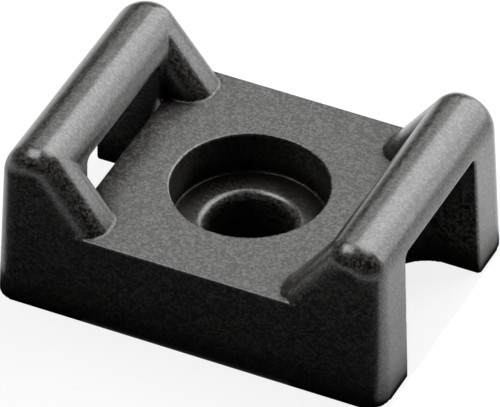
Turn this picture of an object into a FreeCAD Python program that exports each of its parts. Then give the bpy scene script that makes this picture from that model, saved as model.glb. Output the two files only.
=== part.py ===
import FreeCAD, Part
import math
import os
from FreeCAD import Vector

# Screw-down cable tie mount, moulded in one piece in black nylon.
# Millimetres. The origin is on the base, on the axis of the screw hole.
# X runs along the mount from bridge to bridge, Y across it, Z up.
# Depths along X are measured inwards from the end faces at the base.

# Block
length = 22.4
width = 15.9
platform_height = 5.4
side_draft = 1.8
end_draft = 2.2
platform_edge_radius = 0.05

# Screw hole and the recess for the screw head
hole_diameter = 4.6
recess_diameter = 8.4
recess_depth = 2.5
hole_lip_radius = 0.5
rim_chamfer = 0.07

# Bridges: two sloping legs and a round-topped bar at each end
bridge_rise = 4.25
bridge_depth_at_platform = 6.2
bridge_depth_at_top = 3.03
bar_outer_radius = 1.95
bar_inner_radius = 1.45
leg_thickness = 3.25
leg_edge_radius = 1.3

# Bar over the tie slot, seen in section
bar_depth = 3.95
bar_thickness_at_mouth = 1.8
bar_thickness_inside = 1.98
bar_window_radius = 1.9
bar_lower_radius = 0.25

# Tie slots under the bars, open at the end faces and at the base
slot_ledge = 0.225
slot_side_draft = 1.3
slot_depth_at_base = 4.5
slot_depth_at_platform = 4.05
slot_corner_at_base = 2.7
slot_corner_at_platform = 0.4
slot_roof_radius = 0.5
slot_mouth_radius = 0.12

overshoot = 1.0

bridge_height = platform_height + bridge_rise
window_half_width = width / 2 - leg_thickness
bar_face = length / 2 - bar_depth


def slope(angle):
    return math.tan(math.radians(angle))


def end_face_x(z):
    return length / 2 - z * slope(end_draft)


def side_wall_y(z):
    return width / 2 - z * slope(side_draft)


def on_line(value, start, end):
    """Second coordinate at a value of the first, on the line through two points."""
    share = (value - start[0]) / (end[0] - start[0])
    return start[1] + share * (end[1] - start[1])


# Side view of the flank, as (x, z) where it meets the platform and the bridge's top
flank_foot = (length / 2 - bridge_depth_at_platform, platform_height)
flank_top = (length / 2 - bridge_depth_at_top, bridge_height)


def flank_z(x):
    return on_line(x, flank_foot, flank_top)


def slot_half_width(z):
    return window_half_width - slot_ledge - z * slope(slot_side_draft)


def rounded_wire(corners):
    """Closed flat outline; each corner is a point and the radius of its rounding."""
    count = len(corners)
    starts = []
    ends = []
    middles = []
    for i, (here, radius) in enumerate(corners):
        before = (corners[i - 1][0] - here).normalize()
        after = (corners[(i + 1) % count][0] - here).normalize()
        half = before.getAngle(after) / 2
        starts.append(here + before * (radius / math.tan(half)))
        ends.append(here + after * (radius / math.tan(half)))
        inward = (before + after).normalize()
        middles.append(here + inward * (radius / math.sin(half) - radius))
    edges = []
    for i, (here, radius) in enumerate(corners):
        if radius > 0:
            edges.append(Part.Arc(starts[i], middles[i], ends[i]).toShape())
        edges.append(Part.LineSegment(ends[i], starts[(i + 1) % count]).toShape())
    return Part.Wire(edges)


def side_view(sections):
    """XZ outline from (x, z, radius of the corner)."""
    return rounded_wire([(Vector(x, 0, z), radius) for x, z, radius in sections])


def end_view(sections):
    """YZ outline from (y, z, radius of the corner)."""
    return rounded_wire([(Vector(0, y, z), radius) for y, z, radius in sections])


def prism(outline, start, along):
    """Solid of an outline moved to a start and swept along a straight line."""
    face = Part.Face(outline)
    face.translate(start)
    return face.extrude(along)


def edges_where(solid, test):
    """Edges that pass a test on their points all the way along."""
    found = []
    for edge in solid.Edges:
        first, last = edge.ParameterRange
        points = [edge.valueAt(first + (last - first) * t) for t in (0.02, 0.5, 0.98)]
        if all(test(point) for point in points):
            found.append(edge)
    return found


def filleted(solid, choices):
    """Rounds edges of one solid in one go; choices are (radius, test on an edge's points)."""
    document = FreeCAD.newDocument()
    base = document.addObject("Part::Feature", "base")
    base.Shape = solid
    fillet = document.addObject("Part::Fillet", "fillet")
    fillet.Base = base
    numbered = []
    for number, edge in enumerate(base.Shape.Edges, 1):
        for radius, test in choices:
            if edges_where(edge, test):
                numbered.append((number, radius, radius))
    fillet.Edges = numbered
    document.recompute()
    rounded = fillet.Shape.copy()
    FreeCAD.closeDocument(document.Name)
    return rounded


def near(a, b):
    return abs(a - b) < 1e-4


def on_side_wall(p):
    return near(abs(p.y), side_wall_y(p.z))


def make_envelope():
    """Space between the drafted front and back walls."""
    top = bridge_height + overshoot
    outline = end_view([(-side_wall_y(0), 0, 0), (side_wall_y(0), 0, 0),
                        (side_wall_y(top), top, 0), (-side_wall_y(top), top, 0)])
    return prism(outline, Vector(-length, 0, 0), Vector(2 * length, 0, 0))


def make_block(envelope):
    """The platform block; its ends lie inside the bridges."""
    reach = (bar_face + length / 2) / 2
    block = Part.makeBox(2 * reach, width, platform_height, Vector(-reach, -width / 2, 0))
    block = block.common(envelope)
    rims = edges_where(block, lambda p: on_side_wall(p) and near(p.z, platform_height))
    return block.makeFillet(platform_edge_radius, rims)


def make_window():
    """Cutter for the opening between the legs, at the +X end."""
    corner = Vector(-overshoot, -window_half_width, -overshoot)
    return Part.makeBox(bar_face + overshoot, 2 * window_half_width, bridge_height + 2 * overshoot, corner)


def make_bridge(envelope):
    """The bridge at the +X end, its legs and bar carried down to the base."""
    foot_at_base = on_line(0, flank_foot[::-1], flank_top[::-1])
    outline = side_view([(foot_at_base, 0, 0), (end_face_x(0), 0, 0),
                         (end_face_x(bridge_height), bridge_height, bar_outer_radius),
                         (flank_top[0], bridge_height, bar_inner_radius)])
    bridge = prism(outline, Vector(0, -width / 2, 0), Vector(0, width, 0))
    bridge = bridge.common(envelope).cut(make_window())

    def on_leg_edge(p):
        beside_window = near(abs(p.y), window_half_width) and near(p.z, flank_z(p.x))
        return p.z > 1e-4 and (on_side_wall(p) or beside_window)

    def on_bar_edge(p):
        return near(p.x, bar_face) and near(p.z, flank_z(p.x))
    return filleted(bridge, [(leg_edge_radius, on_leg_edge), (bar_window_radius, on_bar_edge)])


def slot_ring(z):
    """Plan outline of the notch at a height."""
    reach = length / 2 + overshoot
    half = slot_half_width(z)
    depth = on_line(z, (0, slot_depth_at_base), (platform_height, slot_depth_at_platform))
    radius = on_line(z, (0, slot_corner_at_base), (platform_height, slot_corner_at_platform))
    wall = length / 2 - depth
    sections = [(reach, -half, 0), (reach, half, 0), (wall, half, radius), (wall, -half, radius)]
    return rounded_wire([(Vector(x, y, z), corner) for x, y, corner in sections])


def make_tunnel():
    """Cutter for the space under the bar, with the bar's lower inner edge rounded off."""
    inner = bar_face - overshoot
    outer = length / 2 + overshoot
    inner_roof = bridge_height - bar_thickness_inside
    outer_roof = on_line(outer, (bar_face, inner_roof), (length / 2, bridge_height - bar_thickness_at_mouth))
    outline = side_view([(inner, platform_height, 0), (outer, platform_height, 0), (outer, outer_roof, 0),
                         (bar_face, inner_roof, bar_lower_radius), (bar_face, bridge_height, 0),
                         (inner, bridge_height, 0)])
    half = window_half_width
    return prism(outline, Vector(0, -half, 0), Vector(0, 2 * half, 0))


def make_slot():
    """Cutter for the tie slot at the +X end: the notch in the block and the tunnel under the bar."""
    notch = Part.makeLoft([slot_ring(-overshoot), slot_ring(platform_height)], True, True)
    top = bridge_height - bar_thickness_at_mouth
    low_half = slot_half_width(platform_height)
    high_half = slot_half_width(top)
    outline = end_view([(-low_half, platform_height, 0), (low_half, platform_height, 0),
                        (high_half, top, slot_roof_radius), (-high_half, top, slot_roof_radius)])
    start = bar_face - overshoot
    sides = prism(outline, Vector(start, 0, 0), Vector(length, 0, 0))
    return notch.fuse(make_tunnel().common(sides))


def make_hole():
    """Cutter for the screw hole with its rounded lip, and the head recess with its chamfered rim."""
    hole = hole_diameter / 2
    recess = recess_diameter / 2
    floor = platform_height - recess_depth
    wide = recess + overshoot
    top = platform_height + overshoot
    outline = side_view([(0, -overshoot, 0), (hole, -overshoot, 0), (hole, floor, hole_lip_radius),
                         (recess, floor, 0), (recess, platform_height - rim_chamfer, 0),
                         (recess + rim_chamfer, platform_height, 0), (wide, platform_height, 0),
                         (wide, top, 0), (0, top, 0)])
    return Part.Face(outline).revolve(Vector(0, 0, 0), Vector(0, 0, 1), 360)


def at_slot_mouth(p):
    return near(abs(p.x), end_face_x(p.z)) and abs(p.y) < window_half_width and p.z > 1e-4


def make_mount():
    envelope = make_envelope()
    centre = Vector(0, 0, 0)
    toward_x = Vector(1, 0, 0)
    bridge = make_bridge(envelope)
    slot = make_slot()
    mount = make_block(envelope).fuse([bridge, bridge.mirror(centre, toward_x)])
    mount = mount.cut([slot, slot.mirror(centre, toward_x), make_hole()])
    mount = mount.removeSplitter()
    return mount.makeFillet(slot_mouth_radius, edges_where(mount, at_slot_mouth))


os.makedirs("parts", exist_ok=True)
tie_mount_body = make_mount()
tie_mount_body.exportStep("parts/tie_mount_body.step")
box = tie_mount_body.optimalBoundingBox(False, False)
print("tie_mount_body", round(box.XLength, 2), round(box.YLength, 2), round(box.ZLength, 2), "mm,",
      len(tie_mount_body.Solids), "solid,", round(tie_mount_body.Volume), "mm3, valid",
      tie_mount_body.isValid())
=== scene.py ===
import bpy
import math
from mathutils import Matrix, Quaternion, Vector


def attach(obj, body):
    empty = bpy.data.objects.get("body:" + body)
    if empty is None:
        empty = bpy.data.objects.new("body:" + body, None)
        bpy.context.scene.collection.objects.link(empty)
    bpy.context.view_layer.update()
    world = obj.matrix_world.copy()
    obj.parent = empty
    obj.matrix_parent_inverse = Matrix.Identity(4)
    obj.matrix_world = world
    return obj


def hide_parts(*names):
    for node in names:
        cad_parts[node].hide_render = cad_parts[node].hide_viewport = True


# Cable tie mount in black nylon on a pale studio floor. Metres throughout.

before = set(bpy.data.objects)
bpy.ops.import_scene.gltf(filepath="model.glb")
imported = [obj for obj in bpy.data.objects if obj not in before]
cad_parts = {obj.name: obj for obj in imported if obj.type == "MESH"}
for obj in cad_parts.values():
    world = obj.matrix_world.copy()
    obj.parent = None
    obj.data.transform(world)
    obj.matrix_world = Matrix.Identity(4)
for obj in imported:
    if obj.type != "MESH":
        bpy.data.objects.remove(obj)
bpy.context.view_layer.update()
scene = bpy.context.scene

mm = 0.001


def deselectAll():
    if bpy.context.object and bpy.context.object.mode != "OBJECT":
        bpy.ops.object.mode_set(mode="OBJECT")
    bpy.ops.object.select_all(action="DESELECT")


def makeActive(obj):
    deselectAll()
    obj.select_set(True)
    bpy.context.view_layer.objects.active = obj


def onDome(azimuth, elevation):
    # direction from the mount; azimuth 0 lies behind it and 90 to its right
    azimuth = math.radians(azimuth)
    elevation = math.radians(elevation)
    return Vector((math.sin(azimuth) * math.cos(elevation),
                   math.cos(azimuth) * math.cos(elevation),
                   math.sin(elevation)))


# Camera: a long lens well back, looking down on the front right corner

cameraView = {
    "azimuth": 180.0 - 25.585,
    "elevation": 39.971,
    "roll": -0.137,
    "distance": 472.95 * mm,
    "aim": (-0.888 * mm, 1.859 * mm, 2.458 * mm),
    "lens": 649.6,  # mm on the sensor below
    "sensor": 36.0,
    "clipNear": 0.01,
    "clipFar": 20.0,
}


def addCamera():
    view = cameraView
    data = bpy.data.cameras.new("photoCamera")
    data.lens = view["lens"]
    data.sensor_width = view["sensor"]
    data.clip_start = view["clipNear"]
    data.clip_end = view["clipFar"]
    camera = bpy.data.objects.new("photoCamera", data)
    scene.collection.objects.link(camera)
    camera.location = onDome(view["azimuth"], view["elevation"]) * view["distance"]
    aim = Vector(view["aim"]) - camera.location
    turn = Quaternion((0.0, 0.0, 1.0), math.radians(view["roll"]))
    camera.rotation_euler = (aim.to_track_quat("-Z", "Y") @ turn).to_euler()
    scene.camera = camera


addCamera()
print("camera placed")


# Studio: softboxes behind and above the mount, each given as the part of the dome it fills

softboxes = {
    "backHigh": {"azimuth": 18.0, "elevation": 48.0, "wide": 62.0, "tall": 34.0, "radiance": 4.4},
    "backLow": {"azimuth": 26.0, "elevation": 18.0, "wide": 60.0, "tall": 26.0, "radiance": 3.3},
    "leftWing": {"azimuth": -34.0, "elevation": 40.0, "wide": 30.0, "tall": 26.0, "radiance": 1.35},
    "overhead": {"azimuth": 20.0, "elevation": 70.0, "wide": 100.0, "tall": 14.0, "radiance": 2.8},
    "topLeft": {"azimuth": -100.0, "elevation": 66.0, "wide": 74.0, "tall": 28.0, "radiance": 5.4},
}
softboxDistance = 300.0 * mm


def addSoftbox(name, box):
    away = onDome(box["azimuth"], box["elevation"])
    reach = softboxDistance * math.cos(math.radians(box["elevation"]))
    data = bpy.data.lights.new(name, "AREA")
    data.shape = "RECTANGLE"
    data.size = 2.0 * reach * math.tan(math.radians(box["wide"]) / 2.0)
    data.size_y = 2.0 * softboxDistance * math.tan(math.radians(box["tall"]) / 2.0)
    data.energy = box["radiance"] * math.pi * data.size * data.size_y
    lamp = bpy.data.objects.new(name, data)
    scene.collection.objects.link(lamp)
    lamp.location = away * softboxDistance
    lamp.rotation_euler = (-away).to_track_quat("-Z", "Y").to_euler()


for name, box in softboxes.items():
    addSoftbox(name, box)


# Floor: white paper that shows white to the camera and in reflections, and keeps a soft shadow

floorPaper = {
    "size": 6.0,
    "color": (0.9, 0.9, 0.9, 1.0),
    "roughness": 0.9,
    "white": (1.0, 1.0, 1.0, 1.0),
    "glow": 0.85,  # share of plain white where the paper is seen
}


def maximumOf(nodes, links, first, second):
    larger = nodes.new("ShaderNodeMath")
    larger.operation = "MAXIMUM"
    links.new(first, larger.inputs[0])
    links.new(second, larger.inputs[1])
    return larger.outputs[0]


def makePaper():
    material = bpy.data.materials.new("palePaper")
    material.use_nodes = True
    nodes = material.node_tree.nodes
    links = material.node_tree.links
    paper = nodes["Principled BSDF"]
    paper.inputs["Base Color"].default_value = floorPaper["color"]
    paper.inputs["Roughness"].default_value = floorPaper["roughness"]
    glow = nodes.new("ShaderNodeEmission")
    glow.inputs["Color"].default_value = floorPaper["white"]
    ray = nodes.new("ShaderNodeLightPath")
    seen = maximumOf(nodes, links, ray.outputs["Is Camera Ray"], ray.outputs["Is Glossy Ray"])
    seen = maximumOf(nodes, links, seen, ray.outputs["Is Transmission Ray"])
    share = nodes.new("ShaderNodeMath")
    share.operation = "MULTIPLY"
    share.inputs[1].default_value = floorPaper["glow"]
    links.new(seen, share.inputs[0])
    mix = nodes.new("ShaderNodeMixShader")
    links.new(share.outputs[0], mix.inputs["Fac"])
    links.new(paper.outputs["BSDF"], mix.inputs[1])
    links.new(glow.outputs["Emission"], mix.inputs[2])
    links.new(mix.outputs["Shader"], nodes["Material Output"].inputs["Surface"])
    return material


def addFloor():
    deselectAll()
    bpy.ops.mesh.primitive_plane_add(size=floorPaper["size"], location=(0.0, 0.0, 0.0))
    floor = bpy.context.object
    floor.name = "studioFloor"
    floor.data.materials.append(makePaper())


addFloor()


# Painted shadow: dark and grey cards on the floor, unseen by the camera, stand in for the floor's
# shadow in reflections and keep its glare off the shaded walls; only the dark one in the hole is
# seen

paintedShadowCards = {
    "frontShadowCard": {"from": (-40.0 * mm, -40.0 * mm), "to": (40.0 * mm, -8.1 * mm), "shade": 0.035},
    "slotShadowCard": {"from": (6.0 * mm, -8.1 * mm), "to": (11.4 * mm, 8.1 * mm), "shade": 0.004},
    "rightShadowCard": {"from": (11.4 * mm, -8.1 * mm), "to": (40.0 * mm, 40.0 * mm), "shade": 0.93},
    "leftShadowCard": {"from": (-12.5 * mm, -8.1 * mm), "to": (-6.0 * mm, 8.1 * mm), "shade": 0.004},
    "farLeftShadowCard": {"from": (-40.0 * mm, -8.1 * mm), "to": (-12.5 * mm, 8.1 * mm), "shade": 0.7},
    "holeShadowCard": {"from": (-3.5 * mm, -3.5 * mm), "to": (3.5 * mm, 3.5 * mm), "shade": 0.004},
}
seenShadowCards = ("holeShadowCard",)
cardHeight = 0.02 * mm
cardRoughness = 1.0


def makePaintedShadowPaper(name, shade):
    material = bpy.data.materials.new(name)
    material.use_nodes = True
    shader = material.node_tree.nodes["Principled BSDF"]
    shader.inputs["Base Color"].default_value = (shade, shade, shade, 1.0)
    shader.inputs["Roughness"].default_value = cardRoughness
    shader.inputs["Specular IOR Level"].default_value = 0.0
    return material


# lays one painted-shadow card flat on the floor; it casts no shadow, and only the seen ones show to
# the camera
def addPaintedShadowCard(name, card):
    deselectAll()
    middle = [(a + b) / 2.0 for a, b in zip(card["from"], card["to"])]
    bpy.ops.mesh.primitive_plane_add(size=1.0, location=(middle[0], middle[1], cardHeight))
    plane = bpy.context.object
    plane.name = name
    plane.scale = (card["to"][0] - card["from"][0], card["to"][1] - card["from"][1], 1.0)
    plane.data.materials.append(makePaintedShadowPaper(name + "Paper", card["shade"]))
    plane.visible_camera = name in seenShadowCards
    plane.visible_shadow = False


for name, card in paintedShadowCards.items():
    addPaintedShadowCard(name, card)
print("studio built")


# The moulding: a refined copy of the solid, with the barely softened edges of a moulded part

moulding = {
    "weld": 0.0005 * mm,
    "voxel": 0.07 * mm,
    "smoothFactor": 0.5,
    "smoothRounds": 1,
    "triangles": 190000,
}


def copySolid():
    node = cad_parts["tie_mount_body"]
    body = node.copy()
    body.data = node.data.copy()
    body.name = "nylonMoulding"
    body.parent = None
    for key in list(body.keys()):
        del body[key]  # the copy starts without the solid's own labels
    scene.collection.objects.link(body)
    return body


def weldFaces(body):
    makeActive(body)
    bpy.ops.object.mode_set(mode="EDIT")
    bpy.ops.mesh.select_all(action="SELECT")
    bpy.ops.mesh.remove_doubles(threshold=moulding["weld"])
    bpy.ops.object.mode_set(mode="OBJECT")


def makeMoulding():
    body = copySolid()
    weldFaces(body)
    remesh = body.modifiers.new("evenSkin", "REMESH")
    remesh.mode = "VOXEL"
    remesh.voxel_size = moulding["voxel"]
    bpy.ops.object.modifier_apply(modifier="evenSkin")
    smooth = body.modifiers.new("softEdges", "SMOOTH")
    smooth.factor = moulding["smoothFactor"]
    smooth.iterations = moulding["smoothRounds"]
    bpy.ops.object.modifier_apply(modifier="softEdges")
    triangles = 2.0 * len(body.data.polygons)  # the even skin is all quads
    thin = body.modifiers.new("fewerFaces", "DECIMATE")
    thin.ratio = moulding["triangles"] / triangles
    bpy.ops.object.modifier_apply(modifier="fewerFaces")
    bpy.ops.object.shade_smooth()
    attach(body, "root")
    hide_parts("tie_mount_body")
    print("moulding has", len(body.data.polygons), "faces")
    return body


body = makeMoulding()


# Node groups for the surface: they put out masks and heights, and the nylon gives them its values

groupDetail = {
    "grainSoftness": 0.4,
    "grainDetail": 1.0,
    "shelterSamples": 8,
    "edgeSamples": 4,
    "wearDetail": 3.0,
}


def newGroup(name, inputs, outputs):
    group = bpy.data.node_groups.new(name, "ShaderNodeTree")
    for socket, kind in inputs:
        group.interface.new_socket(name=socket, in_out="INPUT", socket_type=kind)
    for socket, kind in outputs:
        group.interface.new_socket(name=socket, in_out="OUTPUT", socket_type=kind)
    entry = group.nodes.new("NodeGroupInput")
    leave = group.nodes.new("NodeGroupOutput")
    return group, entry, leave


def addFallingRange(nodes):
    # 1 at the low end of what it reads and 0 at the high end
    falling = nodes.new("ShaderNodeMapRange")
    falling.inputs["To Min"].default_value = 1.0
    falling.inputs["To Max"].default_value = 0.0
    return falling


def makeGrainGroup():
    # fine even grain: small cells of uneven shade, as a mask, and a soft height
    group, entry, leave = newGroup(
        "mouldGrain",
        [("Vector", "NodeSocketVector"), ("Scale", "NodeSocketFloat"),
         ("Low", "NodeSocketFloat"), ("High", "NodeSocketFloat")],
        [("Mask", "NodeSocketFloat"), ("Height", "NodeSocketFloat")])
    nodes = group.nodes
    links = group.links
    cells = nodes.new("ShaderNodeTexVoronoi")
    cells.feature = "SMOOTH_F1"
    cells.inputs["Smoothness"].default_value = groupDetail["grainSoftness"]
    links.new(entry.outputs["Vector"], cells.inputs["Vector"])
    links.new(entry.outputs["Scale"], cells.inputs["Scale"])
    shade = nodes.new("ShaderNodeSeparateColor")
    links.new(cells.outputs["Color"], shade.inputs["Color"])
    spread = nodes.new("ShaderNodeMapRange")
    links.new(shade.outputs["Red"], spread.inputs["Value"])
    links.new(entry.outputs["Low"], spread.inputs["From Min"])
    links.new(entry.outputs["High"], spread.inputs["From Max"])
    noise = nodes.new("ShaderNodeTexNoise")
    noise.inputs["Detail"].default_value = groupDetail["grainDetail"]
    links.new(entry.outputs["Vector"], noise.inputs["Vector"])
    links.new(entry.outputs["Scale"], noise.inputs["Scale"])
    links.new(spread.outputs["Result"], leave.inputs["Mask"])
    links.new(noise.outputs["Fac"], leave.inputs["Height"])
    return group


def makeShadeAndDullGroup():
    # hollows and inner corners, as a mask from ambient occlusion: painted shade darkens the hollows
    # and takes off their gloss, and inner corners lose their gloss
    group, entry, leave = newGroup(
        "paintedShadeAndDullness",
        [("Reach", "NodeSocketFloat"), ("Low", "NodeSocketFloat"), ("High", "NodeSocketFloat")],
        [("Mask", "NodeSocketFloat")])
    nodes = group.nodes
    links = group.links
    openness = nodes.new("ShaderNodeAmbientOcclusion")
    openness.samples = groupDetail["shelterSamples"]
    links.new(entry.outputs["Reach"], openness.inputs["Distance"])
    shelter = addFallingRange(nodes)
    links.new(openness.outputs["AO"], shelter.inputs["Value"])
    links.new(entry.outputs["Low"], shelter.inputs["From Min"])
    links.new(entry.outputs["High"], shelter.inputs["From Max"])
    links.new(shelter.outputs["Result"], leave.inputs["Mask"])
    return group


def makeDustGroup():
    # tiny round specks, as a mask
    group, entry, leave = newGroup(
        "dustSpecks",
        [("Vector", "NodeSocketVector"), ("Scale", "NodeSocketFloat"), ("Reach", "NodeSocketFloat")],
        [("Mask", "NodeSocketFloat")])
    nodes = group.nodes
    links = group.links
    cells = nodes.new("ShaderNodeTexVoronoi")
    cells.feature = "F1"
    links.new(entry.outputs["Vector"], cells.inputs["Vector"])
    links.new(entry.outputs["Scale"], cells.inputs["Scale"])
    near = addFallingRange(nodes)
    links.new(cells.outputs["Distance"], near.inputs["Value"])
    links.new(entry.outputs["Reach"], near.inputs["From Max"])
    links.new(near.outputs["Result"], leave.inputs["Mask"])
    return group


def makeWearGroup():
    # rubbed edges, broken up by a slow noise, as a mask
    group, entry, leave = newGroup(
        "edgeWear",
        [("Vector", "NodeSocketVector"), ("Scale", "NodeSocketFloat"), ("Reach", "NodeSocketFloat"),
         ("Low", "NodeSocketFloat"), ("High", "NodeSocketFloat")],
        [("Mask", "NodeSocketFloat")])
    nodes = group.nodes
    links = group.links
    shape = nodes.new("ShaderNodeNewGeometry")
    rounded = nodes.new("ShaderNodeBevel")
    rounded.samples = groupDetail["edgeSamples"]
    links.new(entry.outputs["Reach"], rounded.inputs["Radius"])
    agree = nodes.new("ShaderNodeVectorMath")
    agree.operation = "DOT_PRODUCT"
    links.new(rounded.outputs["Normal"], agree.inputs[0])
    links.new(shape.outputs["Normal"], agree.inputs[1])
    edge = addFallingRange(nodes)
    links.new(agree.outputs["Value"], edge.inputs["Value"])
    links.new(entry.outputs["Low"], edge.inputs["From Min"])
    links.new(entry.outputs["High"], edge.inputs["From Max"])
    noise = nodes.new("ShaderNodeTexNoise")
    noise.inputs["Detail"].default_value = groupDetail["wearDetail"]
    links.new(entry.outputs["Vector"], noise.inputs["Vector"])
    links.new(entry.outputs["Scale"], noise.inputs["Scale"])
    worn = nodes.new("ShaderNodeMath")
    worn.operation = "MULTIPLY"
    links.new(edge.outputs["Result"], worn.inputs[0])
    links.new(noise.outputs["Fac"], worn.inputs[1])
    links.new(worn.outputs[0], leave.inputs["Mask"])
    return group


# Black nylon: satin, with the fine even grain of a spark-eroded mould and a gloss like a thin skin,
# and painted shade in its hollows

nylon = {
    "dark": (0.0055, 0.0042, 0.0028, 1.0),
    "pale": (0.1, 0.097, 0.092, 1.0),
    "worn": (0.03, 0.03, 0.03, 1.0),
    "dust": (0.22, 0.21, 0.2, 1.0),
    "ior": 1.8,
    "underSpecular": 0.04,  # the gloss is left to the skin
    "skinRoughness": 0.295,
    "roughnessLow": 0.27,
    "roughnessHigh": 0.32,
    "cloudSize": 3.5 * mm,
    "cloudDetail": 3.0,
    "cloudLow": 0.3,
    "cloudHigh": 0.7,
    "grainSize": 0.11 * mm,
    "grainLow": 0.25,
    "grainHigh": 1.0,
    "grainDepth": 0.006 * mm,
    # painted shade: in hollows the colour goes to the dark base and the coat gloss drops; inner
    # corners lose their gloss
    "openGloss": 0.92,
    "shelterGloss": 0.1,
    "shelterReach": 2.6 * mm,
    "shelterLow": 0.55,
    "shelterHigh": 0.92,
    "cornerGloss": 0.0,
    "cornerReach": 0.25 * mm,
    "cornerLow": 0.82,
    "cornerHigh": 0.98,
    "dustSpacing": 0.55 * mm,
    "dustReach": 0.055,
    "wearSize": 0.8 * mm,
    "wearReach": 0.1 * mm,
    "wearLow": 0.8,
    "wearHigh": 0.97,
}


def placeGroup(nodes, links, group, place, values):
    node = nodes.new("ShaderNodeGroup")
    node.node_tree = group
    if "Vector" in node.inputs:
        links.new(place.outputs["Object"], node.inputs["Vector"])
    for socket, value in values.items():
        node.inputs[socket].default_value = value
    return node


def mixColor(nodes, links, mask, first, second):
    # each colour is a value or a socket
    mix = nodes.new("ShaderNodeMix")
    mix.data_type = "RGBA"
    links.new(mask, mix.inputs["Factor"])
    for socket, color in (("A", first), ("B", second)):
        target = [s for s in mix.inputs if s.name == socket and s.type == "RGBA"][0]
        if isinstance(color, tuple):
            target.default_value = color
        else:
            links.new(color, target)
    return [s for s in mix.outputs if s.type == "RGBA"][0]


def makeNylon():
    material = bpy.data.materials.new("blackNylon")
    material.use_nodes = True
    nodes = material.node_tree.nodes
    links = material.node_tree.links
    shader = nodes["Principled BSDF"]
    shader.inputs["IOR"].default_value = nylon["ior"]
    shader.inputs["Specular IOR Level"].default_value = nylon["underSpecular"]
    shader.inputs["Coat IOR"].default_value = nylon["ior"]
    shader.inputs["Coat Roughness"].default_value = nylon["skinRoughness"]
    place = nodes.new("ShaderNodeTexCoord")
    grain = placeGroup(nodes, links, makeGrainGroup(), place,
                       {"Scale": 1.0 / nylon["grainSize"],
                        "Low": nylon["grainLow"], "High": nylon["grainHigh"]})
    dust = placeGroup(nodes, links, makeDustGroup(), place,
                      {"Scale": 1.0 / nylon["dustSpacing"], "Reach": nylon["dustReach"]})
    wear = placeGroup(nodes, links, makeWearGroup(), place,
                      {"Scale": 1.0 / nylon["wearSize"], "Reach": nylon["wearReach"],
                       "Low": nylon["wearLow"], "High": nylon["wearHigh"]})
    shadeAndDullGroup = makeShadeAndDullGroup()
    # painted shade in the hollows, where the surface is enclosed
    hollowShade = placeGroup(nodes, links, shadeAndDullGroup, place,
                        {"Reach": nylon["shelterReach"],
                         "Low": nylon["shelterLow"], "High": nylon["shelterHigh"]})
    corner = placeGroup(nodes, links, shadeAndDullGroup, place,
                        {"Reach": nylon["cornerReach"],
                         "Low": nylon["cornerLow"], "High": nylon["cornerHigh"]})
    grained = mixColor(nodes, links, grain.outputs["Mask"], nylon["dark"], nylon["pale"])
    # painted shade: hollows darkened to the dark base colour
    shadedHollows = mixColor(nodes, links, hollowShade.outputs["Mask"], grained, nylon["dark"])
    worn = mixColor(nodes, links, wear.outputs["Mask"], shadedHollows, nylon["worn"])
    dusty = mixColor(nodes, links, dust.outputs["Mask"], worn, nylon["dust"])
    links.new(dusty, shader.inputs["Base Color"])
    cloud = nodes.new("ShaderNodeTexNoise")
    cloud.inputs["Scale"].default_value = 1.0 / nylon["cloudSize"]
    cloud.inputs["Detail"].default_value = nylon["cloudDetail"]
    links.new(place.outputs["Object"], cloud.inputs["Vector"])
    sheen = nodes.new("ShaderNodeMapRange")
    sheen.inputs["From Min"].default_value = nylon["cloudLow"]
    sheen.inputs["From Max"].default_value = nylon["cloudHigh"]
    sheen.inputs["To Min"].default_value = nylon["roughnessLow"]
    sheen.inputs["To Max"].default_value = nylon["roughnessHigh"]
    links.new(cloud.outputs["Fac"], sheen.inputs["Value"])
    links.new(sheen.outputs["Result"], shader.inputs["Roughness"])
    hollowGloss = nodes.new("ShaderNodeMapRange")
    hollowGloss.inputs["To Min"].default_value = nylon["openGloss"]
    hollowGloss.inputs["To Max"].default_value = nylon["shelterGloss"]
    links.new(hollowShade.outputs["Mask"], hollowGloss.inputs["Value"])
    gloss = nodes.new("ShaderNodeMapRange")
    gloss.inputs["To Max"].default_value = nylon["cornerGloss"]
    links.new(corner.outputs["Mask"], gloss.inputs["Value"])
    links.new(hollowGloss.outputs["Result"], gloss.inputs["To Min"])
    links.new(gloss.outputs["Result"], shader.inputs["Coat Weight"])
    bump = nodes.new("ShaderNodeBump")
    bump.inputs["Distance"].default_value = nylon["grainDepth"]
    links.new(grain.outputs["Height"], bump.inputs["Height"])
    links.new(bump.outputs["Normal"], shader.inputs["Normal"])
    return material


body.data.materials.clear()
body.data.materials.append(makeNylon())
print("materials made")

scene.view_settings.view_transform = "Standard"
